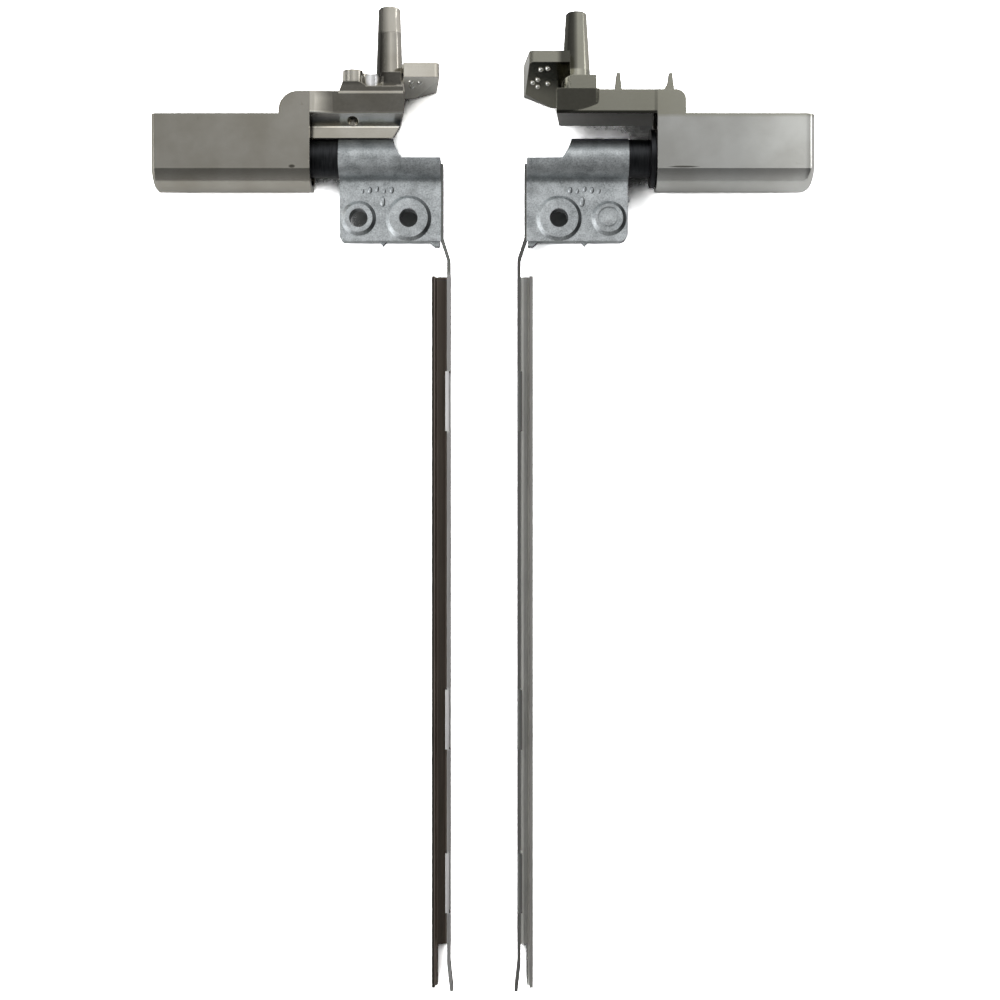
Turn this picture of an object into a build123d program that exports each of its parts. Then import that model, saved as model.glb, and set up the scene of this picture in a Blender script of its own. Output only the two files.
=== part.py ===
# Pair of laptop lid hinges, laid flat side by side with their rails pointing towards -Y.
# Each hinge is drawn in its own frame: X along the hinge axis from the mouth of the cap towards the rail,
# Y from the axis towards the screw post, Z up from the table. The right hinge is the mirrored hand.
import os
from build123d import *

os.makedirs("parts", exist_ok=True)

# driving dimensions, millimetres
mouth_span = 68.5  # between the open mouths of the two caps
cap_length = 31.2
cap_half = 6.0  # half of the cap's thickness
cap_rim = 7.9  # height of the open rim above the hinge axis
nose_radius = 6.7
wall = 1.2
web_near = 2.0  # depth of the bearing web's near face in the mouth
web_thick = 3.0
post_bore = 1.05
post_bore_depth = 9.0
post_foot_depth = 3.4  # pedestal behind the hinge axis
post_foot_front = 3.6
tip_break = 0.3
tip_flat = 5.2  # length of the flat on the left post's tip
tip_flat_cut = 0.35
journal_radius = 2.5
collar_radius = 3.8
flange_radius = 5.8  # only the right shaft has a flange
flange_thick = 0.9
flange_near = 0.2
lug_round = 0.9
flat_half = 1.9  # half width across the flats of the shaft
knuckle_gap = 5.4  # from the mouth of the cap to the knuckle
knuckle_width = 20.3
barrel_radius = 4.0
plate_thick = 3.6
plate_face = -0.2  # front face of the plate against the hinge axis
plate_reach = 16.4  # from the hinge axis to the foot of the plate
lip_drop = 0.9  # of the cast lip below the foot
root_round = 0.9  # between plate and barrel
step_drop = 0.4  # of the plate's top edge beside the barrel, under the hinge axis
gate_at = 8.6  # stub of the casting gate on the foot, from the plate's near side
gate_half = 0.9
gate_drop = 0.8
screw_radius = 1.85
screw_pitch = 10.0
screw_drop = 11.8
small_boss_radius = 3.5
large_boss_radius = 4.55
boss_rise = 0.6
boss_draft = 0.7
sheet = 0.7
rebate = 0.3  # the rail's tongue sits this deep in the side of the plate
fold_radius = 0.8  # of the rail's folds, in the middle of the sheet
rail_start = 23.0
rail_reach = 166.7
prong_length = 8.4
prong_width = 1.2
prong_splay = 0.6
flange_tall = 5.4
lip_tall = 2.8
joggle = 1.45
pad_length = 12.0
pad_rise = 0.3
first_pad = 25.4  # from the start of the channel
middle_pad = 46.1  # from the end of the channel
last_pad = 13.3
panel_screw_radius = 1.1
washer_thick = 0.4
washer_radius = 4.15
stop_thick = 0.8
spring_thick = 0.6
spring_cone = 0.6
nut_thick = 3.2
nut_across = 7.0
thread_radius = 2.0

# clearances
run_fit = 0.05  # shaft in the bearing web, radial
press_fit = 0.01  # shaft in the knuckle, radial
face_fit = 0.03  # between faces that slide on each other
slot_fit = 0.05  # washer tab in its slot
stop_fit = 0.1

# the features in which the two hands differ
hands = {
    "left": {
        "end_break": 0.6,
        "neck": 6.1,
        "neck_round": 3.8,
        "arm": (8.1, 12.3),
        "arm_ramp": (1.0, 4.5),
        "arm_face": (5.8, 4.7),
        "arm_end": (18.8, 16.7),
        "post_at": 15.4,
        "post_top": 30.0,
        "post_radii": (2.65, 2.2),
        "pedestal": (13.9, 17.9, 16.6),
        "pedestal_lean": 1.2,
        "lug_top": 17.9,
        "lug_lean": 0.5,
        "lug_under": (14.95, 13.4),
        "lug_out": (25.6, 24.6),
        "lug_in": (18.6, 16.4),
        "lug_rise": 1.5,
        "riser_front": 3.0,
        "pocket_end": 4.2,
        "barrel_length": 11.6,
        "corner": 1.0,
        "rail_width": 3.85,
    },
    "right": {
        "end_break": 2.3,
        "neck": 5.6,
        "neck_round": 2.0,
        "arm": (7.9, 12.6),
        "arm_ramp": (0.0, 0.6),
        "arm_face": (5.9, 5.8),
        "arm_end": (19.9, 19.0),
        "post_at": 15.8,
        "post_top": 29.1,
        "post_radii": (2.85, 2.1),
        "pedestal": (11.9, 17.0, 16.0),
        "pedestal_lean": 0.1,
        "lug_top": 20.2,
        "lug_lean": 0.1,
        "lug_under": (17.9, 11.6),
        "lug_out": (25.2, 26.2),
        "lug_in": (17.3, 16.4),
        "lug_rise": 2.2,
        "riser_front": -3.0,
        "pocket_end": 10.4,
        "barrel_length": 12.2,
        "corner": 1.6,
        "rail_width": 3.2,
    },
}

# peg, shelf and skirt of the left arm
peg_at = 8.3
peg_front = 2.9  # the peg's middle against the hinge axis
peg_radius = 2.0
peg_bore = 1.1
peg_top = 16.8
shelf_from = 5.8
shelf_lean = 0.8
shelf_top = 14.1  # before the peg
shelf_low = 13.2  # before the saddle and the pedestal
shelf_front = 6.4
shelf_depth = 8.0
saddle_top = 16.5
saddle_round = 2.2
skirt_bend = (6.2, 1.65)
skirt_face = 1.95
skirt_thick = 2.0
skirt_round = 2.3
skirt_inset = 0.4

# pad and fins of the right arm
pad_from = 11.5
pad_face = (7.0, 6.0)
pad_low = 8.2
pad_side_low = 10.0
pad_bevel = 0.7
slim_fin_at = 7.7
slim_fin_half = 0.5
broad_fin_at = -2.6
broad_fin_half = 0.5
fin_rise = 3.3
fin_flare = 1.2
fin_back = 2.0

# derived places
axis_y = (rail_reach - hands["left"]["post_top"]) / 2
axis_z = cap_half
skirt_low = barrel_radius - 0.25  # the skirt's lip hangs before the barrel
skirt_behind = barrel_radius + 0.25
web_far = web_near + web_thick
knuckle_far = knuckle_gap + knuckle_width
small_boss_at = knuckle_gap + small_boss_radius + 0.3
large_boss_at = small_boss_at + screw_pitch
plate_back = plate_face - plate_thick
rail_floor = -cap_half
rail_crest = rail_floor + flange_tall
seat_face = knuckle_far - rebate
sheet_mid = seat_face + sheet / 2
flange_mid = sheet_mid + joggle
panel_screw_z = rail_crest - panel_screw_radius - 0.2
web_end = rail_reach - prong_length
pad_places = (rail_start + first_pad, web_end - middle_pad, web_end - last_pad)
cavity_half = cap_half - wall
stop_near = web_far + washer_thick + face_fit
spring_near = stop_near + stop_thick + face_fit
pressure_near = spring_near + spring_thick + spring_cone + face_fit
nut_near = pressure_near + stop_thick + face_fit
shaft_end = nut_near + nut_thick + 0.7
stop_lug_reach = cavity_half - 0.2
stop_lug_half = 0.8
collar_face = -web_near + washer_thick + face_fit
tab_low = journal_radius + run_fit + 0.4
tab_high = washer_radius - 0.5
tab_half = 0.8
tab_deep = 0.8
rivet_radius = 0.9
rivet_deep = 3.0
rivet_z = plate_face - plate_thick / 2 - 0.3
rivet_places = (4.6, 12.6)


def block(low, high, mode=Mode.ADD):
    middle = [(a + b) / 2 for a, b in zip(low, high)]
    with Locations(tuple(middle)):
        Box(high[0] - low[0], high[1] - low[1], high[2] - low[2], mode=mode)


def rod_x(radius, start, end, y=0.0, z=0.0, mode=Mode.ADD):
    with Locations(Location(((start + end) / 2, y, z), (0, 90, 0))):
        Cylinder(radius, abs(end - start), mode=mode)


def rod_y(radius, start, end, x, z, mode=Mode.ADD):
    with Locations(Location((x, (start + end) / 2, z), (90, 0, 0))):
        Cylinder(radius, abs(end - start), mode=mode)


def rod_z(radius, start, end, x, y, mode=Mode.ADD):
    with Locations((x, y, (start + end) / 2)):
        Cylinder(radius, abs(end - start), mode=mode)


def slab(points, start, end, plane, mode=Mode.ADD):
    # a flat outline pushed between two heights along the plane's normal
    with BuildSketch(plane.offset(start)) as outline:
        Polygon(*points, align=None)
    extrude(outline.sketch, amount=end - start, mode=mode)


def plan(points, low, high, mode=Mode.ADD):
    # an outline in x and z, pushed up the y axis
    slab(points, -high, -low, Plane.XZ, mode)


def trough(radius, half, rim):
    # the cap's section: flat sides, a round nose about the hinge axis and an open rim
    Circle(radius)
    with Locations((rim / 2, 0)):
        Rectangle(rim, 2 * half)
    with Locations(((rim - radius) / 2, 0)):
        Rectangle(rim + radius, 2 * half, mode=Mode.INTERSECT)


def flatted(radius, half, start, end, mode=Mode.ADD):
    # a round bar with two flats
    with BuildSketch(Plane.YZ.offset(start)) as section:
        Circle(radius)
        Rectangle(2 * half, 2 * radius, mode=Mode.INTERSECT)
    extrude(section.sketch, amount=end - start, mode=mode)


def cap_end_edges(part):
    # rim of the cap's closed end, without its edge at the open side
    return part.faces().sort_by(Axis.X)[0].edges().filter_by(lambda e: e.center().Y < cap_rim - 0.1)


def make_cap(hand):
    with BuildPart() as hollow:
        with BuildSketch(Plane.YZ.offset(wall - cap_length)):
            trough(nose_radius - wall, cap_half - wall, cap_rim + 1.0)
        extrude(amount=cap_length)

    with BuildPart() as cap:
        with BuildSketch(Plane.YZ.offset(-cap_length)):
            trough(nose_radius, cap_half, cap_rim)
        extrude(amount=cap_length)
        # the left end is bevelled, the right one rounded
        soften = chamfer if hand is hands["left"] else fillet
        soften(cap_end_edges(cap), hand["end_break"])
        add(hollow.part, mode=Mode.SUBTRACT)
        # bearing web across the mouth, up to the arm
        with BuildSketch(Plane.YZ.offset(-web_far)):
            trough(nose_radius - wall / 2, cap_half - wall / 2, hand["arm"][0] + 0.2)
        extrude(amount=web_thick)
        # ribs that stop the turn
        for side in (-1, 1):
            near, far = sorted((side * (washer_radius + stop_fit), side * (cavity_half + 0.2)))
            block(
                (-stop_near - stop_thick - stop_fit, stop_lug_half + stop_fit, near),
                (-web_far + 0.2, cap_rim - 1.5, far),
            )
    return cap.part


def arm_section(hand, place, high, low):
    arm_under, arm_top = hand["arm"]
    with BuildSketch(Plane.YZ.offset(place)) as section:
        Polygon((arm_top, high), (arm_under, low), (arm_under, -cap_half), (arm_top, -cap_half), align=None)
    return section.sketch


def cut_arm_end(hand):
    # the arm's free end slants back from its front edge
    front_end, back_end = hand["arm_end"]
    beyond = front_end + 1.0
    end = [(front_end, cap_half), (beyond, cap_half), (beyond, -cap_half), (back_end, -cap_half)]
    plan(end, 0, hand["arm"][1] + 1.0, mode=Mode.SUBTRACT)


def make_arm(hand):
    # a thick flange over the cap's inner end, whose face sinks and leans past the mouth
    arm_under, arm_top = hand["arm"]
    ramp_from, ramp_to = hand["arm_ramp"]
    high, low = hand["arm_face"]
    with BuildPart() as arm:
        extrude(arm_section(hand, -hand["neck"], cap_half, cap_half), amount=hand["neck"] + ramp_from)
        flat, sunk = arm_section(hand, ramp_from, cap_half, cap_half), arm_section(hand, ramp_to, high, low)
        loft([flat, sunk], ruled=True)
        extrude(sunk, amount=hand["arm_end"][0] - ramp_to)
        cut_arm_end(hand)
        shoulder = arm.edges().filter_by(Axis.Z).filter_by(
            lambda e: abs(e.center().Y - arm_top) < 0.01 and abs(e.center().X + hand["neck"]) < 0.01
        )
        fillet(shoulder, hand["neck_round"])
        for low_face, high_face in ((cap_half - wall, cap_half), (-cap_half, wall - cap_half)):
            block((-hand["neck"], cap_rim - 0.5, low_face), (0, arm_under + 0.2, high_face))
        # coring pocket in the top
        pocket_floor = arm_under + 0.4 * (arm_top - arm_under)
        block(
            (-2 * wall, pocket_floor, wall - cap_half),
            (hand["pocket_end"], arm_top + 0.5, hand["arm_face"][0] - 1.5 * wall),
            mode=Mode.SUBTRACT,
        )
    return arm.part


def make_lug(hand):
    # lug with a sloped underside, and the riser that ties it to the arm's end
    under_front, under_back = hand["lug_under"]
    out_front, out_back = hand["lug_out"]
    in_front, in_back = hand["lug_in"]
    lug_top, riser_front = hand["lug_top"], hand["riser_front"]
    front_end, back_end = hand["arm_end"]
    reach_in, reach_out = min(in_front, in_back), max(out_front, out_back)
    with BuildPart() as lug:
        sloped = [
            (lug_top, cap_half - hand["lug_lean"]),
            (under_front, cap_half),
            (under_back, -cap_half),
            (lug_top, -cap_half),
        ]
        slab(sloped, reach_in, reach_out, Plane.YZ)
        outline = [(in_front, cap_half), (out_front, cap_half), (out_back, -cap_half), (in_back, -cap_half)]
        plan(outline, under_back - 1.0, lug_top + 1.0, mode=Mode.INTERSECT)
        fillet(lug.faces().sort_by(Axis.Z)[-1].edges().sort_by(Axis.X)[-1], lug_round)
        # the underside climbs towards the free end
        climb = [(front_end - 0.5, under_back - 0.5), (reach_out + 0.5, under_back - 0.5)]
        climb.append((reach_out + 0.5, under_back + hand["lug_rise"]))
        slab(climb, -cap_half - 1.0, cap_half + 1.0, Plane.XY, mode=Mode.SUBTRACT)
        riser = [
            (front_end - 1.8, riser_front),
            (front_end - 0.3, riser_front),
            (back_end, -cap_half),
            (back_end - 1.8, -cap_half),
        ]
        plan(riser, hand["arm"][1] - 1.0, under_front)
    return lug.part


def make_post(hand):
    # tapered screw post on a pedestal with an undercut front
    post_at, post_top = hand["post_at"], hand["post_top"]
    foot_radius, tip_radius = hand["post_radii"]
    foot_from, foot_to, foot_top = hand["pedestal"]
    arm_top = hand["arm"][1]
    with BuildPart() as post:
        undercut = [
            (arm_top - 0.5, -post_foot_depth),
            (arm_top - 0.5, post_foot_front - hand["pedestal_lean"]),
            (foot_top, post_foot_front),
            (foot_top, -post_foot_depth),
        ]
        slab(undercut, foot_from, foot_to, Plane.YZ)
        profile = [
            (post_at, arm_top),
            (post_at + foot_radius, arm_top),
            (post_at + foot_radius, foot_top),
            (post_at + tip_radius, post_top - tip_break),
            (post_at + tip_radius - tip_break, post_top),
            (post_at, post_top),
        ]
        with BuildSketch(Plane.XY):
            Polygon(*profile, align=None)
        revolve(axis=Axis((post_at, 0, 0), (0, 1, 0)))
        if hand is hands["left"]:
            # flat on the front of the tip
            block(
                (post_at - foot_radius, post_top - tip_flat, tip_radius - tip_flat_cut),
                (post_at + foot_radius, post_top, 2 * tip_radius),
                mode=Mode.SUBTRACT,
            )
    return post.part


def make_peg_side(hand):
    # left arm: raised shelf and peg above, stepped skirt below
    arm_under, arm_top = hand["arm"]
    front_end = hand["arm_end"][0]
    high, low = hand["arm_face"]
    foot_from = hand["pedestal"][0]
    with BuildPart() as shelf:
        foot = arm_top - 0.5
        leaning = [(foot, high), (arm_top, high), (shelf_top, shelf_front)]
        leaning += [(shelf_top, shelf_front - shelf_depth), (foot, shelf_front - shelf_depth)]
        slab(leaning, shelf_from, front_end, Plane.YZ)
        outline = [(shelf_from, foot), (shelf_from, arm_top), (shelf_from + shelf_lean, shelf_top)]
        outline += [(peg_at + 0.7 * peg_radius, shelf_top), (peg_at + 1.6 * peg_radius, shelf_low)]
        outline += [(front_end - 0.4, shelf_low), (front_end - 0.4, foot)]
        slab(outline, -cap_half, cap_half + 1.0, Plane.XY, mode=Mode.INTERSECT)
        # saddle between peg and pedestal, hollowed at its front
        block((peg_at, arm_top, 0), (foot_from + 0.5, saddle_top, peg_front + 0.5))
        hollow_at = (peg_at + foot_from + peg_radius) / 2
        hollow_front = peg_front + saddle_round - 1.0
        rod_y(saddle_round, shelf_low, saddle_top + 1.0, hollow_at, hollow_front, mode=Mode.SUBTRACT)
        rod_y(peg_radius, arm_top, peg_top, peg_at, peg_front)

    with BuildPart() as skirt:
        bend_y, bend_z = skirt_bend
        root = arm_under + 0.5
        section = [
            (arm_under, low),
            (bend_y, bend_z),
            (skirt_low, skirt_face),
            (skirt_behind, 0),
            (skirt_behind, bend_z - skirt_thick),
            (root, bend_z - skirt_thick),
            (root, low - 0.5),
        ]
        slab(section, -0.3, front_end, Plane.YZ)
        heel, toe = front_end - skirt_inset, front_end - skirt_inset - skirt_round
        with BuildSketch(Plane.XY.offset(-cap_half)) as outline:
            with BuildLine():
                Polyline((toe, skirt_low), (-1.0, skirt_low), (-1.0, root), (heel, root), (heel, arm_under))
                middle = (toe + 0.62 * skirt_round, (skirt_low + arm_under) / 2 + 0.3)
                ThreePointArc((heel, arm_under), middle, (toe, skirt_low))
            make_face()
        extrude(outline.sketch, amount=2 * cap_half, mode=Mode.INTERSECT)
        cut_arm_end(hand)
    return shelf.part, skirt.part


def fin_outline(arm_top, middle, half, flare_low, flare_high):
    # a round-tipped finger whose two sides sweep out into the arm
    foot, tip = arm_top - 0.3, arm_top + fin_rise
    knee = arm_top + fin_rise * 0.3
    with BuildSketch(Plane.XY.offset(fin_back)) as outline:
        with BuildLine():
            ThreePointArc(
                (middle - half - flare_low, foot),
                (middle - half - 0.25 * flare_low, knee),
                (middle - 0.6 * half, tip),
            )
            Line((middle - 0.6 * half, tip), (middle + 0.6 * half, tip))
            ThreePointArc(
                (middle + 0.6 * half, tip),
                (middle + half + 0.25 * flare_high, knee),
                (middle + half + flare_high, foot),
            )
            Line((middle + half + flare_high, foot), (middle - half - flare_low, foot))
        make_face()
    return outline.sketch


def make_pad_side(hand):
    # right arm: raised pad with a curved lower edge, and two locating fins
    front_end, arm_top = hand["arm_end"][0], hand["arm"][1]
    high, low = pad_face
    base = hand["arm_face"][0] - 0.3
    with BuildPart() as pad:
        section = [(arm_top, base), (arm_top, high), (pad_low, low), (pad_low, base)]
        slab(section, pad_from, front_end, Plane.YZ)
        with BuildSketch(Plane.XY) as outline:
            with BuildLine():
                Polyline((pad_from, pad_side_low), (pad_from, arm_top), (front_end, arm_top))
                Line((front_end, arm_top), (front_end, pad_low))
                middle = ((pad_from + front_end) / 2, pad_low + 0.2 * (pad_side_low - pad_low))
                ThreePointArc((front_end, pad_low), middle, (pad_from, pad_side_low))
            make_face()
        extrude(outline.sketch, amount=high + 1.0, mode=Mode.INTERSECT)
        chamfer(pad.faces().sort_by(Axis.X)[0].edges().sort_by(Axis.Z)[-1], pad_bevel)

    with BuildPart() as fins:
        slim = fin_outline(arm_top, slim_fin_at, slim_fin_half, 0.2, 0.2)
        extrude(slim, amount=hand["arm_face"][0] - fin_back)
        broad = fin_outline(arm_top, broad_fin_at, broad_fin_half, 0.3, fin_flare)
        extrude(broad, amount=cap_half - 0.4 - fin_back)
    return pad.part, fins.part


def make_bracket(hand):
    pieces = [make_cap(hand), make_arm(hand), make_lug(hand), make_post(hand)]
    if hand is hands["left"]:
        pieces += make_peg_side(hand)
    else:
        pieces += make_pad_side(hand)
    with BuildPart() as bracket:
        for piece in pieces:
            add(piece)
        # shaft bore and slot for the washer tabs
        rod_x(journal_radius + run_fit, -web_far - 1, -web_near + 1, mode=Mode.SUBTRACT)
        block(
            (-web_far - 0.5, tab_low - slot_fit, -tab_half - slot_fit),
            (-web_near + 0.5, tab_high + slot_fit, tab_half + slot_fit),
            mode=Mode.SUBTRACT,
        )
        # tapped holes
        post_top = hand["post_top"]
        rod_y(post_bore, post_top - post_bore_depth, post_top + 1.0, hand["post_at"], 0, mode=Mode.SUBTRACT)
        if hand is hands["left"]:
            rod_y(peg_bore, skirt_bend[0], peg_top + 1.0, peg_at, peg_front, mode=Mode.SUBTRACT)
    return bracket.part


def make_shaft(hand):
    # journal, collar, threaded end and two flatted ends
    profile = [
        (-web_far, 0),
        (-web_far, journal_radius),
        (collar_face, journal_radius),
        (collar_face, collar_radius),
        (knuckle_gap, collar_radius),
        (knuckle_gap, 0),
    ]
    with BuildPart() as shaft:
        with BuildSketch(Plane.XY):
            Polygon(*profile, align=None)
        revolve(axis=Axis.X)
        if hand is hands["right"]:
            rod_x(flange_radius, flange_near, flange_near + flange_thick)
        rod_x(thread_radius, -shaft_end, -nut_near)
        flatted(journal_radius, flat_half, -nut_near, -web_far)
        flatted(journal_radius, flat_half, knuckle_gap, knuckle_gap + hand["barrel_length"] - 2.0)
    return shaft.part


def make_friction_washer(near, far, tab_from, tab_to):
    with BuildPart() as washer:
        rod_x(washer_radius, near, far)
        rod_x(journal_radius + 0.1, near - 1, far + 1, mode=Mode.SUBTRACT)
        block((tab_from, tab_low, -tab_half), (tab_to, tab_high, tab_half))
    return washer.part


def make_stop_plate():
    near, far = -stop_near - stop_thick, -stop_near
    with BuildPart() as plate:
        rod_x(washer_radius - 0.15, near, far)
        block((near, -stop_lug_reach, -stop_lug_half), (far, -washer_radius + 0.8, stop_lug_half))
        flatted(journal_radius + press_fit, flat_half + press_fit, near - 1, far + 1, mode=Mode.SUBTRACT)
    return plate.part


def make_spring():
    # cone washer that presses the stack together
    inner, outer = journal_radius + 0.1, washer_radius - 0.1
    near, far = -spring_near, -spring_near - spring_thick
    with BuildPart() as spring:
        with BuildSketch(Plane.XY):
            section = [(near, outer), (far, outer), (far - spring_cone, inner), (near - spring_cone, inner)]
            Polygon(*section, align=None)
        revolve(axis=Axis.X)
    return spring.part


def make_pressure_washer():
    near, far = -pressure_near - stop_thick, -pressure_near
    with BuildPart() as washer:
        rod_x(washer_radius - 0.25, near, far)
        flatted(journal_radius + press_fit, flat_half + press_fit, near - 1, far + 1, mode=Mode.SUBTRACT)
    return washer.part


def make_nut():
    with BuildPart() as nut:
        with BuildSketch(Plane.YZ.offset(-nut_near - nut_thick)):
            RegularPolygon(nut_across / 2, 6, major_radius=False)
        extrude(amount=nut_thick)
        rod_x(thread_radius + press_fit, -shaft_end - 1, -nut_near + 1, mode=Mode.SUBTRACT)
    return nut.part


def make_knuckle(hand):
    with BuildPart() as knuckle:
        with BuildSketch(Plane.YZ.offset(knuckle_gap)):
            Circle(barrel_radius)
            with Locations((-plate_reach / 2, plate_face - plate_thick / 2)):
                Rectangle(plate_reach, plate_thick)
        extrude(amount=knuckle_width)
        # root of the plate under the barrel
        root = knuckle.edges().filter_by(Axis.X).filter_by(
            lambda e: abs(e.center().Z - plate_face) < 0.01 and -plate_reach + 1 < e.center().Y < -2
        )
        fillet(root, root_round)
        # foot corners of the plate
        corner = knuckle.edges().filter_by(Axis.Z).sort_by(Axis.X)[0]
        fillet(corner, hand["corner"])
        # the barrel stops short of the rail, with a concave end
        end = knuckle_gap + hand["barrel_length"]
        above, beyond = barrel_radius + 0.5, knuckle_far + 1.0
        with BuildSketch(Plane.XY.offset(-above)) as outline:
            with BuildLine():
                ThreePointArc((end - 0.9, above), (end - 0.1, 1.5), (end + 1.1, -step_drop))
                Polyline((end + 1.1, -step_drop), (beyond, -step_drop), (beyond, above), (end - 0.9, above))
            make_face()
        extrude(outline.sketch, amount=2 * above, mode=Mode.SUBTRACT)
        # screw bosses
        for place, radius in ((small_boss_at, small_boss_radius), (large_boss_at, large_boss_radius)):
            with Locations((place, -screw_drop, plate_face + boss_rise / 2)):
                Cone(radius, radius - boss_draft, boss_rise)
        rod_z(screw_radius, plate_back - 1, plate_face + 1, large_boss_at, -screw_drop, mode=Mode.SUBTRACT)
        face = plate_face + boss_rise
        if hand is hands["left"]:
            rod_z(screw_radius, plate_back - 1, face + 1, small_boss_at, -screw_drop, mode=Mode.SUBTRACT)
        else:
            dimple = small_boss_radius - boss_draft - 0.6
            rod_z(dimple, face - boss_rise / 2, face + 1, small_boss_at, -screw_drop, mode=Mode.SUBTRACT)
            rod_z(dimple - 0.6, face - boss_rise, face - 0.05, small_boss_at, -screw_drop)
            # flash left at the parting line
            block(
                (knuckle_gap - 0.4, -plate_reach / 2, plate_back + 1.0),
                (knuckle_gap + 0.2, -plate_reach / 2 + 0.9, plate_face - 1.0),
            )
        # lip at the rail side of the foot, and the stub of the casting gate
        lip = [(knuckle_far, -plate_reach + 0.5), (knuckle_far, -plate_reach - lip_drop)]
        lip += [(knuckle_far - 1.3, -plate_reach - lip_drop), (knuckle_far - 2.8, -plate_reach + 0.5)]
        slab(lip, plate_back, plate_face - 0.8, Plane.XY)
        gate = knuckle_gap + gate_at
        foot = -plate_reach + 0.2
        stub = [(gate - gate_half, foot), (gate + gate_half, foot), (gate, -plate_reach - gate_drop)]
        slab(stub, plate_back + 0.8, plate_face - 1.0, Plane.XY)
        # rebate for the rail's tongue, under the edge of the front face
        block(
            (seat_face, -plate_reach - lip_drop - 1.0, plate_back - 1.0),
            (knuckle_far + 1.0, 1.0, rail_crest + face_fit),
            mode=Mode.SUBTRACT,
        )
        # flatted bore for the shaft and blind holes for the rivets
        flatted(
            journal_radius + press_fit,
            flat_half + press_fit,
            knuckle_gap - 1,
            end - 1.8,
            mode=Mode.SUBTRACT,
        )
        for place in rivet_places:
            rod_x(
                rivet_radius + press_fit,
                seat_face - rivet_deep - 0.1,
                knuckle_far + 1,
                -place,
                rivet_z,
                mode=Mode.SUBTRACT,
            )
    return knuckle.part


def make_rail(hand):
    stem_low = rail_floor + 1.6
    web_mid = rail_floor + sheet / 2
    lip_mid = flange_mid + sheet - hand["rail_width"]
    lip_crest = (lip_mid, rail_floor + lip_tall)
    with BuildPart() as rail:
        # folded channel: deep flange, web and shallow lip
        with BuildSketch(Plane.XZ.offset(rail_start)):
            with BuildLine():
                channel = [lip_crest, (lip_mid, web_mid), (flange_mid, web_mid), (flange_mid, rail_crest)]
                FilletPolyline(*channel, radius=fold_radius)
            trace(line_width=sheet)
        extrude(amount=web_end - rail_start)
        # tongue and joggled stem
        with BuildSketch(Plane.XY.offset(stem_low)):
            with BuildLine():
                FilletPolyline(
                    (sheet_mid, -0.8),
                    (sheet_mid, -plate_reach + 0.9),
                    (flange_mid, -plate_reach - 3.6),
                    (flange_mid, -rail_start - 1.0),
                    radius=2.0,
                )
            trace(line_width=sheet)
        extrude(amount=rail_crest - stem_low)
        # prongs at the far end: one runs on from the flange, one from the lip and its fold
        with BuildSketch(Plane.XY.offset(stem_low)):
            with BuildLine():
                FilletPolyline(
                    (flange_mid, -web_end + 1.0),
                    (flange_mid, -web_end - prong_length / 3),
                    (flange_mid + prong_splay, -rail_reach),
                    radius=prong_length / 3,
                )
            trace(line_width=sheet)
        extrude(amount=rail_crest - stem_low)
        with BuildSketch(Plane.XZ.offset(web_end - 1.0)):
            with BuildLine():
                inner_edge = (lip_mid - sheet / 2 + prong_width, web_mid)
                FilletPolyline(lip_crest, (lip_mid, web_mid), inner_edge, radius=fold_radius)
            trace(line_width=sheet)
        extrude(amount=prong_length + 1.0)
        # pressed seats with the panel's screw holes
        for place in pad_places:
            inner, outer = flange_mid - sheet / 2, flange_mid + sheet / 2
            low, high = -place - pad_length / 2, -place + pad_length / 2
            block((inner - pad_rise, low, rail_floor + 2.0), (inner + 0.2, high, rail_crest))
            block(
                (outer - pad_rise, low, rail_floor + 2.0),
                (outer + 0.5, high, rail_crest + 1),
                mode=Mode.SUBTRACT,
            )
            rod_x(panel_screw_radius, inner - 1, outer + 1, -place, panel_screw_z, mode=Mode.SUBTRACT)
        # rivet holes in the tongue
        for place in rivet_places:
            rod_x(
                rivet_radius + press_fit,
                seat_face - 1,
                seat_face + sheet + 1,
                -place,
                rivet_z,
                mode=Mode.SUBTRACT,
            )
    return rail.part


def make_rivets():
    with BuildPart() as rivets:
        for place in rivet_places:
            rod_x(rivet_radius, seat_face - rivet_deep, seat_face + sheet, -place, rivet_z)
    return rivets.part


def place_node(piece, side, name):
    with BuildPart() as node:
        with Locations((-mouth_span / 2, axis_y, axis_z)):
            add(piece)
        if side == "right":
            mirror(about=Plane.YZ, mode=Mode.REPLACE)
    node.part.label = side + "_" + name
    export_step(node.part, "parts/" + side + "_" + name + ".step")


common = {
    "inner_friction_washer": make_friction_washer(
        -web_near, -web_near + washer_thick, -web_near - tab_deep, -web_near + washer_thick
    ),
    "outer_friction_washer": make_friction_washer(
        -web_far - washer_thick, -web_far, -web_far - washer_thick, -web_far + tab_deep
    ),
    "stop_plate": make_stop_plate(),
    "disc_spring": make_spring(),
    "pressure_washer": make_pressure_washer(),
    "lock_nut": make_nut(),
    "rail_rivets": make_rivets(),
}
for side, hand in hands.items():
    place_node(make_bracket(hand), side, "base_bracket")
    place_node(make_shaft(hand), side, "hinge_shaft")
    place_node(make_knuckle(hand), side, "knuckle_block")
    place_node(make_rail(hand), side, "lid_rail")
    for name, piece in common.items():
        place_node(piece, side, name)
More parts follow.
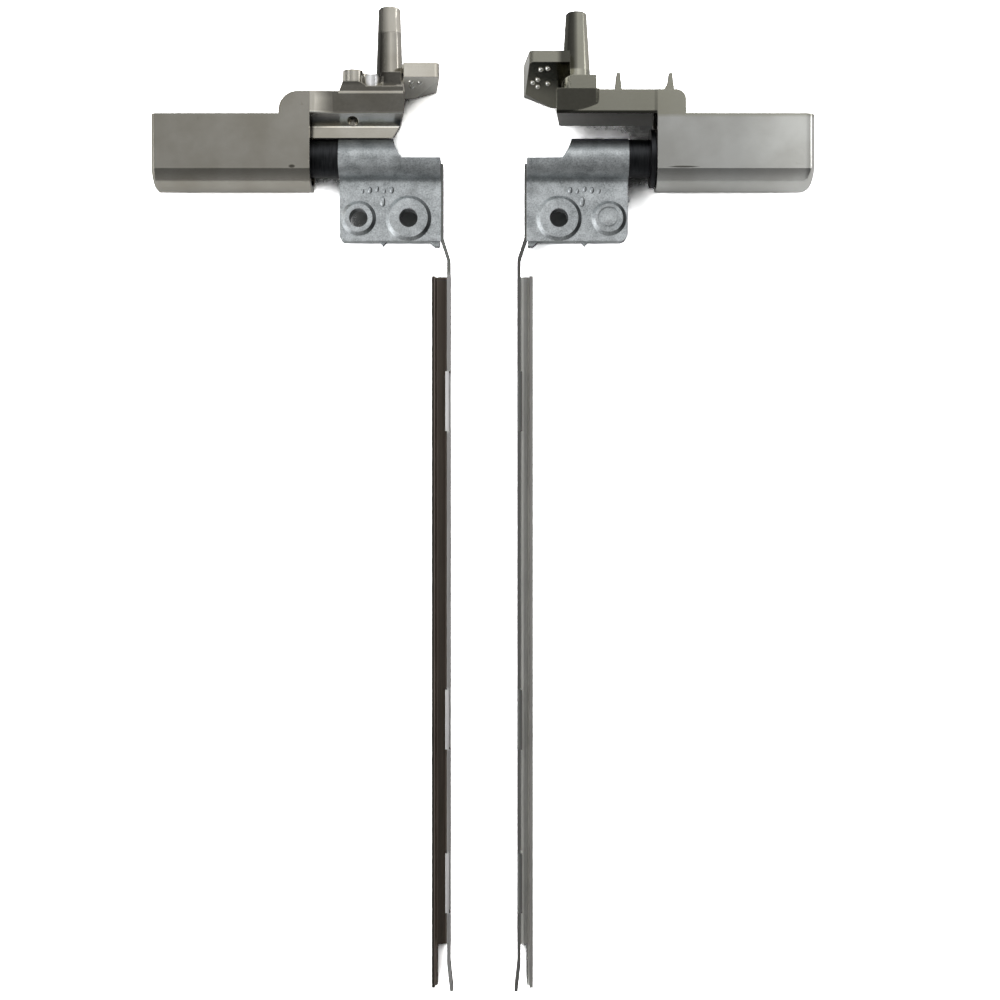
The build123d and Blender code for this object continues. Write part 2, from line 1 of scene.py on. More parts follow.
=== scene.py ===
import bpy
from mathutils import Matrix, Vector


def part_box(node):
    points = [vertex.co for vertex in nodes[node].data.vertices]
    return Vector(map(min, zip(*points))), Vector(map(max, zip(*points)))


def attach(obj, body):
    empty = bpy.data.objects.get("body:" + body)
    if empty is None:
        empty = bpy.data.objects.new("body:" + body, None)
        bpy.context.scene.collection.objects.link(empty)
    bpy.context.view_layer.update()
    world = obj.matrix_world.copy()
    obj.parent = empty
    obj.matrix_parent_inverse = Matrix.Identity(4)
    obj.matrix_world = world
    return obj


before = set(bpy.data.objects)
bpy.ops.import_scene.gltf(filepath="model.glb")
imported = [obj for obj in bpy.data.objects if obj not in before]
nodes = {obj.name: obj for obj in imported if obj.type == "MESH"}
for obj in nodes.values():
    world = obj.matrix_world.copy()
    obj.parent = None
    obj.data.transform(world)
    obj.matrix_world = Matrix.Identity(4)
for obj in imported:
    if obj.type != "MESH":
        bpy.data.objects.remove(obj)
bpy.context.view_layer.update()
sides = ("left", "right")
print("stage: frame loaded,", len(nodes), "nodes")

mm = 0.001
noiseSpan = (0.3, 0.7)  # where most values of a noise texture lie
spotCore = 0.55  # share of a spot's radius that is at full strength


def toLinear(hexColour):
    values = [int(hexColour[i:i + 2], 16) / 255 for i in (1, 3, 5)]
    return [v / 12.92 if v <= 0.04045 else ((v + 0.055) / 1.055) ** 2.4 for v in values] + [1.0]


def perMetre(sizeMm):
    # texture scale that makes one feature about that size
    return 1000.0 / sizeMm


def addNode(tree, kind, inputs=None, **settings):
    # an input is either another node's socket or a plain value
    node = tree.nodes.new(kind)
    for name, value in settings.items():
        setattr(node, name, value)
    for socket, value in (inputs or {}).items():
        if isinstance(value, bpy.types.NodeSocket):
            tree.links.new(value, node.inputs[socket])
        else:
            node.inputs[socket].default_value = value
    return node


def startMaterial(name):
    material = bpy.data.materials.new(name)
    material.use_nodes = True
    tree = material.node_tree
    shader = tree.nodes["Principled BSDF"]
    shader.inputs["Metallic"].default_value = 1.0
    coords = addNode(tree, "ShaderNodeTexCoord").outputs["Object"]
    return material, tree, shader, coords


def noiseAt(tree, vector, sizeMm, detail, roughness=0.5):
    inputs = {"Vector": vector, "Scale": perMetre(sizeMm), "Detail": detail, "Roughness": roughness}
    return addNode(tree, "ShaderNodeTexNoise", inputs).outputs["Fac"]


def spread(tree, value, low, high, toLow, toHigh):
    inputs = {"Value": value, "From Min": low, "From Max": high, "To Min": toLow, "To Max": toHigh}
    return addNode(tree, "ShaderNodeMapRange", inputs).outputs["Result"]


def share(tree, value, span, most=1.0):
    # rises from 0 to its most over a span of the value
    return spread(tree, value, *span, 0.0, most)


def stepAt(tree, value, start, fade, most=1.0):
    return share(tree, value, (start, start + fade), most)


def overNoise(tree, noise, span):
    return spread(tree, noise, *noiseSpan, *span)


def tones(tree, factor, stops):
    ramp = addNode(tree, "ShaderNodeValToRGB", {"Fac": factor})
    elements = ramp.color_ramp.elements
    while len(elements) < len(stops):
        elements.new(1.0)
    for element, (position, colour) in zip(elements, stops):
        element.position = position
        element.color = toLinear(colour)
    return ramp.outputs["Color"]


def twoTone(tree, factor, deep, pale, start=0.35, end=0.65):
    return tones(tree, factor, [(start, deep), (end, pale)])


def mixColour(tree, factor, first, second):
    if isinstance(second, str):
        second = toLinear(second)
    inputs = {"Factor": factor, "A": first, "B": second}
    return addNode(tree, "ShaderNodeMix", inputs, data_type="RGBA").outputs["Result"]


def shade(tree, colour, level):
    # multiplies a colour by a level, which may go above 1
    node = addNode(tree, "ShaderNodeVectorMath", {0: colour, "Scale": level}, operation="SCALE")
    return node.outputs["Vector"]


def levelAlong(tree, value, stops):
    # piecewise level along one coordinate, its stops given on that coordinate
    low, high = stops[0][0], stops[-1][0]
    place = spread(tree, value, low, high, 0.0, 1.0)
    curve = addNode(tree, "ShaderNodeFloatCurve", {"Value": place})
    points = curve.mapping.curves[0].points
    while len(points) < len(stops):
        points.new(0.5, 0.5)
    for point, (position, level) in zip(points, stops):
        point.location = ((position - low) / (high - low), level)
        point.handle_type = "VECTOR"
    curve.mapping.use_clip = False
    curve.mapping.update()
    return curve.outputs["Value"]


def combine(tree, operation, first, second):
    return addNode(tree, "ShaderNodeMath", {0: first, 1: second}, operation=operation).outputs["Value"]


def times(tree, first, second):
    return combine(tree, "MULTIPLY", first, second)


def larger(tree, first, second):
    return combine(tree, "MAXIMUM", first, second)


def axisOf(tree, vector, axis):
    return addNode(tree, "ShaderNodeSeparateXYZ", {"Vector": vector}).outputs[axis]


def inMm(tree, coords, axis):
    return combine(tree, "DIVIDE", axisOf(tree, coords, axis), mm)


def facingOf(tree):
    # where a surface looks, in the frame of its own piece, so that wear turns with the piece
    return addNode(tree, "ShaderNodeTexCoord").outputs["Normal"]


def spotAt(tree, coords, placeMm, sizeMm):
    # an oval spot that fades from 1 in its middle to 0 at its rim
    location = [-place / size for place, size in zip(placeMm, sizeMm)]
    scale = [perMetre(size) for size in sizeMm]
    oval = addNode(tree, "ShaderNodeMapping", {"Vector": coords, "Location": location, "Scale": scale})
    distance = addNode(tree, "ShaderNodeVectorMath", {0: oval.outputs["Vector"]}, operation="LENGTH")
    return spread(tree, distance.outputs["Value"], spotCore, 1.0, 1.0, 0.0)


def softEdges(tree, radiusMm):
    # rounds the shading of edges by a small real radius
    return addNode(tree, "ShaderNodeBevel", {"Radius": radiusMm * mm}, samples=4).outputs["Normal"]


def bump(tree, height, normal, relief):
    # a relief is its strength and its depth in millimetres
    strength, depthMm = relief
    inputs = {"Height": height, "Normal": normal, "Strength": strength, "Distance": depthMm * mm}
    return addNode(tree, "ShaderNodeBump", inputs).outputs["Normal"]


def finishMaterial(tree, shader, colour, roughness, normal):
    tree.links.new(colour, shader.inputs["Base Color"])
    tree.links.new(roughness, shader.inputs["Roughness"])
    tree.links.new(normal, shader.inputs["Normal"])


# nickel-plated zinc die casting, satin: a soft grey mirror with faint mould ripple, pits and stains;
# the right one has an olive film of old grease on its arm
# the levels are painted light and shade: they brighten or dim the plate along X or Y, each stop at its
# place in millimetres
nickelFinish = {
    "left": {
        "deep": "#AAA69B",
        "pale": "#B9B6AD",
        "film": 0.0,
        "leanPaintedLight": 0.0,  # how much of the painted under tone, painted light on the left arm and painted shade on the right, lies on faces of the arm that lean towards the rail
        "under": 0.95,  # and on those that look straight at it
        "underTone": "#F4F2EA",
        "underDull": 0.7,  # how far the latter lose their metal shine
        "capPaintedLight": [(-66.0, 0.97), (-34.0, 1.05)],  # painted light and shade along X
        "postFromMm": 82.8,
        "postPaintedLight": [  # painted shade and highlight across the post, along X
            (-24.6, 1.3), (-23.6, 1.3), (-23.2, 1.0), (-22.4, 0.12), (-20.5, 0.14), (-19.7, 0.5),
            (-18.8, 0.95), (-17.0, 1.05), (-15.0, 0.95),
        ],
        # painted highlight on the post's flat tip
        "tipPaintedLight": 1.55,
        "skirtPaintedLight": [  # painted light and shade along Y, beside the cap
            (70.0, 0.82), (74.2, 0.82), (74.4, 2.3), (76.6, 2.3), (76.9, 1.65), (81.6, 1.65), (82.2, 1.0),
        ],
        "creaseSpot": ((-37.7, 65.8, 12.0), (0.75, 0.4, 1.0)),  # dark spot on the cap's crease: place and half size
    },
    "right": {
        "deep": "#C9C9C4",
        "pale": "#D8D9D5",
        "film": 0.75,
        "leanPaintedLight": 0.25,
        "under": 0.6,
        "underTone": "#2C271F",
        "underDull": 0.0,
        "capPaintedLight": [(34.0, 0.82), (50.0, 0.82), (62.0, 1.18), (66.0, 1.18)],
        "postFromMm": 85.6,
        "postPaintedLight": [
            (12.0, 0.8), (14.4, 0.8), (15.4, 0.22), (17.8, 0.24), (19.6, 0.9), (20.6, 1.5), (24.0, 1.0),
        ],
        "tipPaintedLight": 1.0,
        "skirtPaintedLight": [(70.0, 1.0), (74.0, 1.0), (74.2, 0.1), (76.7, 0.1), (76.9, 1.0), (80.0, 1.0)],
        "creaseSpot": ((39.4, 65.7, 12.0), (3.4, 0.22, 1.0)),
    },
    "postFadeMm": 0.4,
    "tipFromMm": 93.3,
    "tipFadeMm": 0.1,
    "frontFrom": (0.05, 0.2),  # rise of the normal from which a face counts as upper side
    "leanFrom": (-0.12, -0.22),
    "underFrom": (-0.8, -1.0),
    "saddleHighlight": ((-22.2, 83.8, 6.0), (1.6, 1.7, 12.0)),  # painted highlight on the saddle between the peg and the left post
    "saddleHighlightTone": "#FFFFFF",
    "mouthMm": 34.25,  # of each cap from the middle
    "mouthFade": 0.995,
    "stain": "#6E6756",
    "stainMm": 2.2,
    "stainFrom": (0.66, 0.74),
    "stainShare": 0.25,
    "pegBore": ((-25.95, 75.1, 9.0), (1.05, 0.75, 12.0)),  # shaded mouth of the bore under the left peg
    "darkSpotTone": "#3A362C",
    "darkSpotShare": 0.8,
    "filmTone": "#9E9C8B",
    "filmFromMm": (3.0, 3.8),  # above the barrel
    "cloudMm": 9.0,
    "rippleMm": 1.6,
    "rippleRelief": (0.08, 0.03),
    "pitMm": 0.5,  # true pits are about 0.1 mm, drawn coarser to show
    "pitRelief": (0.05, 0.012),
    "rough": (0.15, 0.21),
    "edgeMm": 0.16,
}


def nickelTint(tree, coords, x, side):
    finish = nickelFinish
    cloud = noiseAt(tree, coords, finish["cloudMm"], 4.0)
    tint = twoTone(tree, cloud, finish[side]["deep"], finish[side]["pale"])
    # painted light and shade along the cap, along X
    tint = shade(tree, tint, levelAlong(tree, x, finish[side]["capPaintedLight"]))
    stains = noiseAt(tree, coords, finish["stainMm"], 5.0, 0.7)
    stained = share(tree, stains, finish["stainFrom"], finish["stainShare"])
    return mixColour(tree, stained, tint, finish["stain"])


def lightAndSpotsOnNickel(tree, coords, x, y, front, side, colour):
    # painted light and shade on the upper side: levels on the post and the skirt, a painted highlight on
    # the saddle, the shaded mouth of the peg's bore, and dark spots on the caps' creases
    finish = nickelFinish
    hand = finish[side]
    onPost = times(tree, front, stepAt(tree, y, hand["postFromMm"], finish["postFadeMm"]))
    tipTo = finish["tipFromMm"] + finish["tipFadeMm"]
    tip = spread(tree, y, finish["tipFromMm"], tipTo, 1.0, hand["tipPaintedLight"])
    # painted shade and highlight across the post and on its tip
    postLightLevel = times(tree, levelAlong(tree, x, hand["postPaintedLight"]), tip)
    colour = mixColour(tree, onPost, colour, shade(tree, colour, postLightLevel))
    # painted highlight on the saddle between the peg and the left post
    paintedLight = times(tree, front, spotAt(tree, coords, *finish["saddleHighlight"]))
    colour = mixColour(tree, paintedLight, colour, finish["saddleHighlightTone"])
    mouth = -finish["mouthMm"] if side == "left" else finish["mouthMm"]
    # painted light and shade beside the cap, on the skirt below the arm
    offCap = times(tree, front, share(tree, x, (mouth, finish["mouthFade"] * mouth)))
    colour = mixColour(tree, offCap, colour, shade(tree, colour, levelAlong(tree, y, hand["skirtPaintedLight"])))
    bore = times(tree, front, spotAt(tree, coords, *finish["pegBore"]))
    dark = larger(tree, spotAt(tree, coords, *hand["creaseSpot"]), bore)
    return mixColour(tree, times(tree, dark, finish["darkSpotShare"]), colour, finish["darkSpotTone"])


def makeNickel(side):
    finish = nickelFinish
    hand = finish[side]
    material, tree, shader, coords = startMaterial("satinNickelPlate" + side.capitalize())
    x = inMm(tree, coords, "X")
    y = inMm(tree, coords, "Y")
    facing = facingOf(tree)
    towardPost = axisOf(tree, facing, "Y")
    front = share(tree, axisOf(tree, facing, "Z"), finish["frontFrom"])
    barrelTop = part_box(side + "_knuckle_block")[1][1] / mm
    onArm = share(tree, y, [barrelTop + rise for rise in finish["filmFromMm"]])
    leanPaintedLight = share(tree, towardPost, finish["leanFrom"], hand["leanPaintedLight"])
    under = share(tree, towardPost, finish["underFrom"], hand["under"])
    # painted light on the left arm's faces towards the rail, painted shade on the right arm's
    paintedUnderShare = times(tree, combine(tree, "ADD", leanPaintedLight, under), onArm)
    colour = nickelTint(tree, coords, x, side)
    colour = mixColour(tree, times(tree, onArm, hand["film"]), colour, finish["filmTone"])
    colour = mixColour(tree, paintedUnderShare, colour, hand["underTone"])
    colour = lightAndSpotsOnNickel(tree, coords, x, y, front, side, colour)
    dull = spread(tree, times(tree, under, onArm), 0.0, 1.0, 1.0, 1.0 - hand["underDull"])
    tree.links.new(dull, shader.inputs["Metallic"])
    pit = noiseAt(tree, coords, finish["pitMm"], 2.0)
    ripple = noiseAt(tree, coords, finish["rippleMm"], 3.0)
    soft = bump(tree, ripple, softEdges(tree, finish["edgeMm"]), finish["rippleRelief"])
    normal = bump(tree, pit, soft, finish["pitRelief"])
    finishMaterial(tree, shader, colour, overNoise(tree, pit, finish["rough"]), normal)
    return material


# bare zinc die casting, tumbled: dull blue-grey with a fine sugary grain and greyer scuffs,
# and with painted shade on the barrel, on sides that look towards the rail and on sides that look to the
# right
zincFinish = {
    "deep": "#A0A5A7",
    "pale": "#E4E9EB",
    "toneFrom": (0.36, 0.62),
    "scuff": "#9A9D9D",
    "scuffFrom": (0.54, 0.72),
    "scuffShare": 0.55,
    "paintedShadeTone": "#4E5355",
    "barrelMm": 8.2,
    "barrelFadeMm": 0.3,
    "ridgeShare": 0.14,  # of painted shade on the whole barrel
    "backFrom": (0.08, 0.42),  # turn of the barrel's flank towards the posts
    "backShare": 0.7,
    "footFrom": (-0.25, -0.6),  # turn of the other flank and of the bosses towards the rail
    "footShare": 0.36,
    "footBelowMm": 2.5,  # from the barrel down to the bosses
    "footFadeMm": 1.0,
    "footOnBosses": 0.6,
    "besideTone": "#2E3234",  # of the painted shade on sides that look to the right
    "besideFrom": (0.15, 0.55),
    "besideShare": 0.85,
    "grainMm": 0.32,
    "grainRelief": (0.3, 0.05),
    "cloudMm": 2.6,
    "scuffMm": 5.0,
    "rough": (0.42, 0.56),
    "edgeMm": 0.2,
}


def shadeOnZinc(tree, coords, colour):
    finish = zincFinish
    facing = facingOf(tree)
    towardPost = axisOf(tree, facing, "Y")
    y = inMm(tree, coords, "Y")
    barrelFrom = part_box("left_knuckle_block")[1][1] / mm - finish["barrelMm"]
    onBarrel = stepAt(tree, y, barrelFrom, finish["barrelFadeMm"])
    back = times(tree, onBarrel, share(tree, towardPost, finish["backFrom"], finish["backShare"]))
    footFrom = barrelFrom - finish["footBelowMm"]
    offBosses = spread(tree, y, footFrom, footFrom + finish["footFadeMm"], finish["footOnBosses"], 1.0)
    foot = times(tree, offBosses, share(tree, towardPost, finish["footFrom"], finish["footShare"]))
    ridge = times(tree, onBarrel, finish["ridgeShare"])
    # painted shade on the barrel's flanks and top and on the lower sides of the bosses
    paintedShade = larger(tree, larger(tree, back, foot), ridge)
    colour = mixColour(tree, paintedShade, colour, finish["paintedShadeTone"])
    # painted shade on sides that look to the right
    beside = share(tree, axisOf(tree, facing, "X"), finish["besideFrom"], finish["besideShare"])
    return mixColour(tree, beside, colour, finish["besideTone"])


def makeZinc():
    finish = zincFinish
    material, tree, shader, coords = startMaterial("tumbledZincCasting")
    grain = noiseAt(tree, coords, finish["grainMm"], 3.0, 0.65)
    cloud = noiseAt(tree, coords, finish["cloudMm"], 4.0, 0.6)
    scuffs = noiseAt(tree, coords, finish["scuffMm"], 6.0, 0.62)
    blend = times(tree, combine(tree, "ADD", grain, cloud), 0.5)
    tint = twoTone(tree, blend, finish["deep"], finish["pale"], *finish["toneFrom"])
    scuffed = share(tree, scuffs, finish["scuffFrom"], finish["scuffShare"])
    colour = shadeOnZinc(tree, coords, mixColour(tree, scuffed, tint, finish["scuff"]))
    normal = bump(tree, grain, softEdges(tree, finish["edgeMm"]), finish["grainRelief"])
    finishMaterial(tree, shader, colour, overNoise(tree, grain, finish["rough"]), normal)
    return material


# turned, blanked and sintered pieces: faint tool lines, wide and long as given in millimetres
linedFinishes = {
    # turned steel, black oxide, oiled
    "blackOxideSteel": {
        "pale": "#3A3B3D",
        "deep": "#2A2B2D",
        "rough": (0.34, 0.46),
        "lines": (0.3, 3.0, 3.0),
    },
    # blanked and hardened steel, left plain
    "blankedSteel": {
        "pale": "#B4B5B6",
        "deep": "#8E9092",
        "rough": (0.28, 0.42),
        "lines": (2.0, 0.3, 2.0),
    },
    # spring steel, tempered blue-black
    "bluedSpringSteel": {
        "pale": "#4C4D52",
        "deep": "#2D2E33",
        "rough": (0.28, 0.4),
        "lines": (2.0, 0.4, 0.4),
    },
    # steel nut, bright zinc plating
    "zincPlatedSteel": {
        "pale": "#C6C9CC",
        "deep": "#A6A9AE",
        "rough": (0.22, 0.34),
        "lines": (0.5, 2.0, 2.0),
    },
    # sintered bronze, soaked with grease
    "sinteredBronze": {
        "pale": "#B48A4E",
        "deep": "#8C6734",
        "rough": (0.4, 0.55),
        "lines": (0.4, 0.4, 0.4),
    },
    # bare nickel of the vent beads, rubbed bright
    "beadNickel": {
        "pale": "#F4F4F0",
        "deep": "#DADAD4",
        "rough": (0.2, 0.3),
        "lines": (0.4, 0.4, 0.4),
    },
}
linedSurface = {"toneFrom": (0.32, 0.68), "edgeMm": 0.08, "relief": (0.2, 0.02)}


def toolLines(tree, coords, sizesMm):
    scale = [perMetre(size) for size in sizesMm]
    stretch = addNode(tree, "ShaderNodeMapping", {"Vector": coords, "Scale": scale}).outputs["Vector"]
    inputs = {"Vector": stretch, "Scale": 1.0, "Detail": 3.0}
    return addNode(tree, "ShaderNodeTexNoise", inputs).outputs["Fac"]


def makeLined(name):
    finish = linedFinishes[name]
    material, tree, shader, coords = startMaterial(name)
    lines = toolLines(tree, coords, finish["lines"])
    colour = twoTone(tree, lines, finish["deep"], finish["pale"], *linedSurface["toneFrom"])
    normal = bump(tree, lines, softEdges(tree, linedSurface["edgeMm"]), linedSurface["relief"])
    finishMaterial(tree, shader, colour, overNoise(tree, lines, finish["rough"]), normal)
    return material


# cold-rolled steel sheet with a dull plating, folded after plating, so that its cut edges are bare:
# these are painted bright as a highlight on the left rail, most of all on its pads, and painted dark as
# shade on the right one
# the tones run across the channel from the lip (0) to the flange (1), with painted highlights along the
# folds and painted shade in the inside corners
railFinishes = {
    "left": {
        "across": [
            (0.0, "#4C4640"), (0.12, "#4C4640"), (0.17, "#A89E94"), (0.24, "#A89E94"), (0.3, "#746B63"),
            (0.9, "#4C443E"),
        ],
        # bare cut edge, painted bright as a highlight
        "edge": "#FAFAF8",
        "tongue": "#8A8C88",
        "metallic": 1.0,
        "paintedLight": (0.5, 1.15),  # level of the painted highlight on the bare edge between the pads and on them
    },
    "right": {
        "across": [
            (0.0, "#A6A6A2"), (0.2, "#A6A6A2"), (0.24, "#F2F2EE"), (0.32, "#B8B8B4"),
            (0.54, "#BCBCB8"), (0.64, "#F6F6F2"), (0.78, "#F6F6F2"), (0.82, "#A6A6A2"),
        ],
        # bare cut edge, painted dark as shade
        "edge": "#666664",
        "tongue": "#626260",
        "metallic": 0.5,  # the plating has gone dull and chalky
        "paintedLight": (1.0, 1.0),
    },
    "lines": (0.35, 14.0, 0.35),
    "lineLevels": (0.85, 1.1),
    "lineRelief": (0.25, 0.03),
    "rough": (0.34, 0.48),
    "foldEdgeMm": 0.12,
    "tongueFromMm": (-6.0, -5.0),  # above the foot of the plate
    "splayMm": 0.6,  # of the prong past the flange
    "edgeMm": 0.15,  # depth of the bare band below the crest of the flange
    "ledgeFrom": (0.5, 0.8),  # rise of the normal on the pads' bare upper edges
    "ledgeAcross": (0.91, 0.93),
    "padsMm": [-76.65, -43.85, 19.95],  # along Y
    "padHalfMm": 6.0,
    "padFadeMm": 0.2,
}


def edgeLightLevels(side):
    finish = railFinishes
    between, onPad = finish[side]["paintedLight"]
    half = finish["padHalfMm"]
    outer = half + finish["padFadeMm"]
    levels = []
    for middle in finish["padsMm"]:
        levels += [(middle - outer, between), (middle - half, onPad)]
        levels += [(middle + half, onPad), (middle + outer, between)]
    return levels


def makeRail(side):
    finish = railFinishes
    hand = finish[side]
    material, tree, shader, coords = startMaterial("foldedSteelSheet" + side.capitalize())
    shader.inputs["Metallic"].default_value = hand["metallic"]
    low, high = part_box(side + "_lid_rail")
    splay = finish["splayMm"] * mm
    channel = (low[0], high[0] - splay) if side == "left" else (high[0], low[0] + splay)
    across = share(tree, axisOf(tree, coords, "X"), channel)
    y = inMm(tree, coords, "Y")
    lines = toolLines(tree, coords, finish["lines"])
    # painted highlights and shade across the channel
    platedWithPaintedLight = tones(tree, across, hand["across"])
    platedWithPaintedLight = shade(tree, platedWithPaintedLight, overNoise(tree, lines, finish["lineLevels"]))
    edge = finish["edgeMm"] * mm
    crest = stepAt(tree, axisOf(tree, coords, "Z"), high[2] - edge, 0.5 * edge)
    upward = share(tree, axisOf(tree, facingOf(tree), "Z"), finish["ledgeFrom"])
    ledge = times(tree, upward, share(tree, across, finish["ledgeAcross"]))
    # bare cut edge with painted light, brightest on the pads
    bareEdgeWithPaintedLight = shade(tree, toLinear(hand["edge"])[:3], levelAlong(tree, y, edgeLightLevels(side)))
    colour = mixColour(tree, larger(tree, crest, ledge), platedWithPaintedLight, bareEdgeWithPaintedLight)
    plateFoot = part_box(side + "_knuckle_block")[0][1] / mm
    onTongue = share(tree, y, [plateFoot + rise for rise in finish["tongueFromMm"]])
    colour = mixColour(tree, onTongue, colour, hand["tongue"])
    normal = bump(tree, lines, softEdges(tree, finish["foldEdgeMm"]), finish["lineRelief"])
    finishMaterial(tree, shader, colour, overNoise(tree, lines, finish["rough"]), normal)
    return material


linedMaterials = {name: makeLined(name) for name in linedFinishes}
zinc = makeZinc()
pieceFinishes = {
    "hinge_shaft": linedMaterials["blackOxideSteel"],
    "knuckle_block": zinc,
    "rail_rivets": linedMaterials["blankedSteel"],
    "inner_friction_washer": linedMaterials["sinteredBronze"],
    "outer_friction_washer": linedMaterials["sinteredBronze"],
    "stop_plate": linedMaterials["blankedSteel"],
    "disc_spring": linedMaterials["bluedSpringSteel"],
    "pressure_washer": linedMaterials["blankedSteel"],
    "lock_nut": linedMaterials["zincPlatedSteel"],
}


def dress(name, material):
    node = nodes[name]
    node.data.materials.clear()
    node.data.materials.append(material)


for side in sides:
    dress(side + "_base_bracket", makeNickel(side))
    dress(side + "_lid_rail", makeRail(side))
    for piece, material in pieceFinishes.items():
        dress(side + "_" + piece, material)
print("stage: finishes set")

# camera straight above the pair, its place in millimetres
cameraSettings = {"at": (3.24, 0.15, 356.0), "lens": 63.0, "sensor": 36.0, "clipStartMm": 10.0}
cameraAt = Vector(cameraSettings["at"]) * mm

# small round beads left by gas vents on the undersides of the lugs,
# each on the line from the camera through its place at axis height
lugBeads = {
    "places": {
        "left": [(-14.6, 83.9), (-14.4, 82.9), (-12.8, 83.7)],
        "right": [(11.4, 86.3), (12.8, 86.5), (10.8, 84.3), (9.8, 83.7), (10.8, 82.9), (12.8, 83.5)],
    },
    "heightMm": 6.0,
    "radiusMm": 0.55,
    "facets": (20, 10),
}


def addBead(name, place, sizeMm, material, body):
    around, along = lugBeads["facets"]
    bpy.ops.mesh.primitive_uv_sphere_add(segments=around, ring_count=along, radius=mm, location=place)
    bead = bpy.context.object
    bead.name = name
    bead.scale = sizeMm
    bpy.ops.object.transform_apply(location=False, rotation=False, scale=True)
    bpy.ops.object.shade_smooth()
    bead.data.materials.append(material)
    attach(bead, body)


for side in sides:
    for x, y in lugBeads["places"][side]:
        aim = Vector((x, y, lugBeads["heightMm"])) * mm - cameraAt
        spot = nodes[side + "_base_bracket"].ray_cast(cameraAt, aim.normalized())[1]
        addBead(side + "LugBead", spot, [lugBeads["radiusMm"]] * 3, linedMaterials["beadNickel"], "base")
print("stage: lug beads set")

# worn, unreadable casting marks on the knuckle plates: a row of low humps and one drop below it
castMarks = {
    "count": 5,
    "rowFromMm": {"left": 4.6, "right": 6.2},  # from the knuckle's side next to the cap
    "pitchMm": 1.45,
    "rowDropMm": 10.4,  # under the top of the barrel
    "unevenMm": 0.2,
    "humpMm": (0.42, 0.62, 0.26),
    "smallest": 0.8,  # share of humpMm
    "growth": 0.15,
    "dropFromMm": {"left": 8.6, "right": 9.6},
    "dropDropMm": 12.5,
    "dropMm": (0.55, 1.05, 0.3),
    "plateDropMm": 4.2,  # from the top of the barrel to the plate's face
}


def addCastMarks(side):
    low, high = [[value / mm for value in corner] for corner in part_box(side + "_knuckle_block")]
    start, way = (low[0], 1) if side == "left" else (high[0], -1)
    face = high[2] - castMarks["plateDropMm"]
    body = side + "_lid_arm"
    for number in range(castMarks["count"]):
        x = start + way * (castMarks["rowFromMm"][side] + number * castMarks["pitchMm"])
        y = high[1] - castMarks["rowDropMm"] + castMarks["unevenMm"] * (number % 3)
        growth = castMarks["smallest"] + castMarks["growth"] * (number * 2 % 3)
        size = [value * growth for value in castMarks["humpMm"]]
        addBead(side + "CastHump", Vector((x, y, face)) * mm, size, zinc, body)
    x = start + way * castMarks["dropFromMm"][side]
    drop = Vector((x, high[1] - castMarks["dropDropMm"], face)) * mm
    addBead(side + "CastDrop", drop, castMarks["dropMm"], zinc, body)


for side in sides:
    addCastMarks(side)
print("stage: casting marks set")

# matt floor paint, shown white to the camera, with painted shade at the bottom of deep holes and in tight
# gaps, set by how closed in the floor is; it lights the pair as pale grey
floorSettings = {
    "sizeM": 6.0,
    "dropMm": 0.2,
    "tone": 0.8,
    "shown": 6.0,
    "holeTone": 0.24,
    "holeReachMm": 8.0,
    "openFrom": (0.39, 0.47),  # openness at which the floor turns from dark to pale
    "samples": 16,
}


def makeFloorPaint():
    material = bpy.data.materials.new("paleFloorPaint")
    material.use_nodes = True
    tree = material.node_tree
    tree.nodes.clear()
    reach = {"Distance": floorSettings["holeReachMm"] * mm}
    # painted shade where the floor is closed in
    occlusion = addNode(tree, "ShaderNodeAmbientOcclusion", reach, samples=floorSettings["samples"])
    tonesShown = (floorSettings["holeTone"], floorSettings["shown"])
    shown = spread(tree, occlusion.outputs["AO"], *floorSettings["openFrom"], *tonesShown)
    seen = addNode(tree, "ShaderNodeLightPath").outputs["Is Camera Ray"]
    tone = spread(tree, seen, 0.0, 1.0, floorSettings["tone"], shown)
    paint = addNode(tree, "ShaderNodeBsdfDiffuse", {"Color": tone}).outputs["BSDF"]
    addNode(tree, "ShaderNodeOutputMaterial", {"Surface": paint})
    return material


floorAt = (0, 0, -floorSettings["dropMm"] * mm)
bpy.ops.mesh.primitive_plane_add(size=floorSettings["sizeM"], location=floorAt)
floor = bpy.context.object
floor.name = "paleFloor"
floor.data.materials.append(makeFloorPaint())

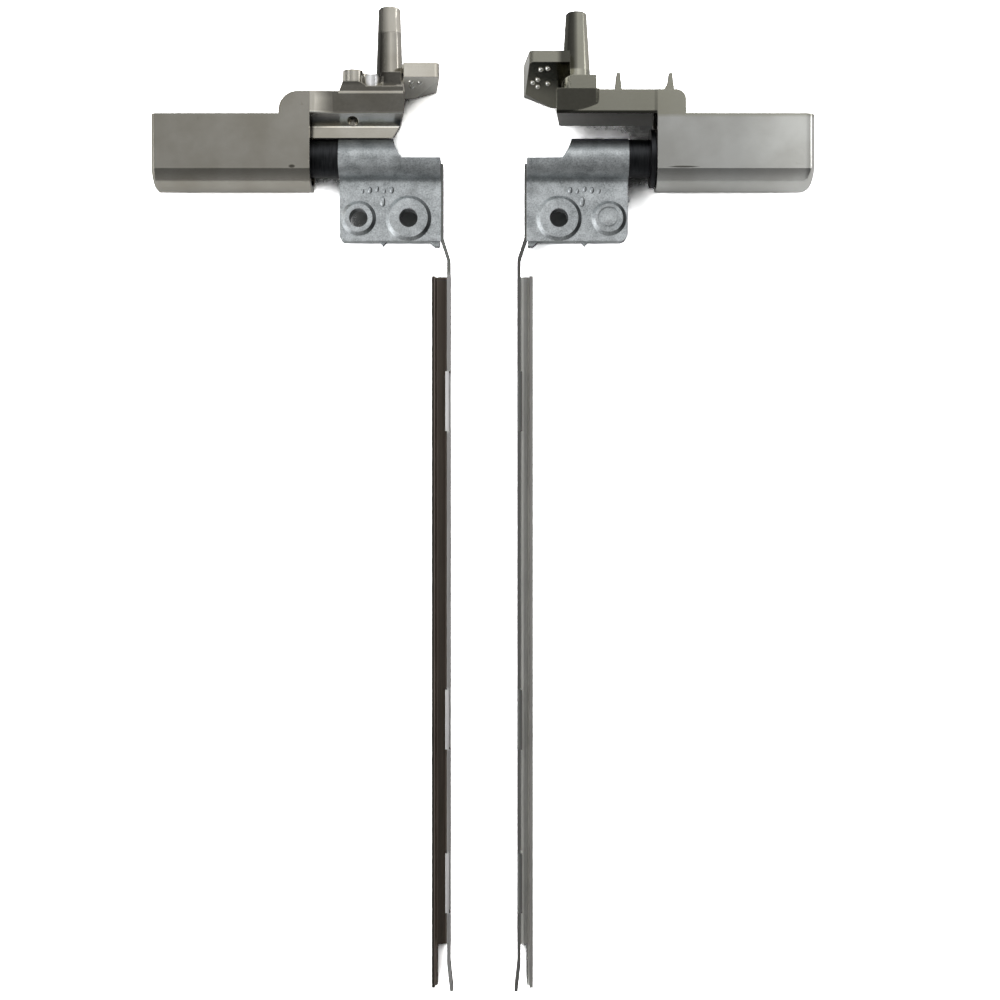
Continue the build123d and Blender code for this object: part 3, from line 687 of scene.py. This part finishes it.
# room that is dim towards the rails, grey overhead and brighter behind the posts and to the right,
# each stop at one part of a direction
room = {
    "towardPosts": [
        (-1.0, 0.32), (-0.88, 0.22), (-0.6, 0.12), (-0.24, 0.12), (-0.06, 0.24), (0.12, 0.38),
        (0.22, 0.55), (0.32, 0.7), (0.44, 1.2), (0.64, 1.3), (1.0, 0.5),
    ],
    "towardRight": [
        (-1.0, 0.35), (-0.5, 0.6), (-0.16, 0.92), (0.06, 1.0), (0.2, 1.5), (0.5, 1.2), (1.0, 0.8),
    ],
}
world = bpy.data.worlds.new("studioRoom")
bpy.context.scene.world = world
world.use_nodes = True
worldTree = world.node_tree
direction = addNode(worldTree, "ShaderNodeTexCoord").outputs["Generated"]
towardPosts = levelAlong(worldTree, axisOf(worldTree, direction, "Y"), room["towardPosts"])
towardRight = levelAlong(worldTree, axisOf(worldTree, direction, "X"), room["towardRight"])
roomLevel = times(worldTree, towardPosts, towardRight)
worldTree.links.new(roomLevel, worldTree.nodes["Background"].inputs["Color"])

# a broad panel at the left and a small fill at the right, in metres and watts
lamps = {
    "leftPanel": {"at": (-0.73, -0.18, 0.5), "size": (0.9, 0.9), "power": 5.8},
    "rightPanel": {"at": (0.9, 0.3, 0.14), "size": (0.2, 0.12), "power": 0.25},
}
lampTarget = Vector((0, 0.05, 0))


def addPanel(name, settings):
    lamp = bpy.data.lights.new(name, "AREA")
    lamp.shape = "RECTANGLE"
    lamp.size, lamp.size_y = settings["size"]
    lamp.energy = settings["power"]
    holder = bpy.data.objects.new(name, lamp)
    bpy.context.scene.collection.objects.link(holder)
    holder.location = settings["at"]
    holder.rotation_euler = (lampTarget - Vector(settings["at"])).to_track_quat("-Z", "Y").to_euler()


for name, settings in lamps.items():
    addPanel(name, settings)

cameraData = bpy.data.cameras.new("photoCamera")
cameraData.lens = cameraSettings["lens"]
cameraData.sensor_width = cameraSettings["sensor"]
cameraData.clip_start = cameraSettings["clipStartMm"] * mm
camera = bpy.data.objects.new("photoCamera", cameraData)
bpy.context.scene.collection.objects.link(camera)
camera.location = cameraAt
bpy.context.scene.camera = camera
bpy.context.scene.view_settings.view_transform = "Standard"
print("stage: floor, light and camera set")
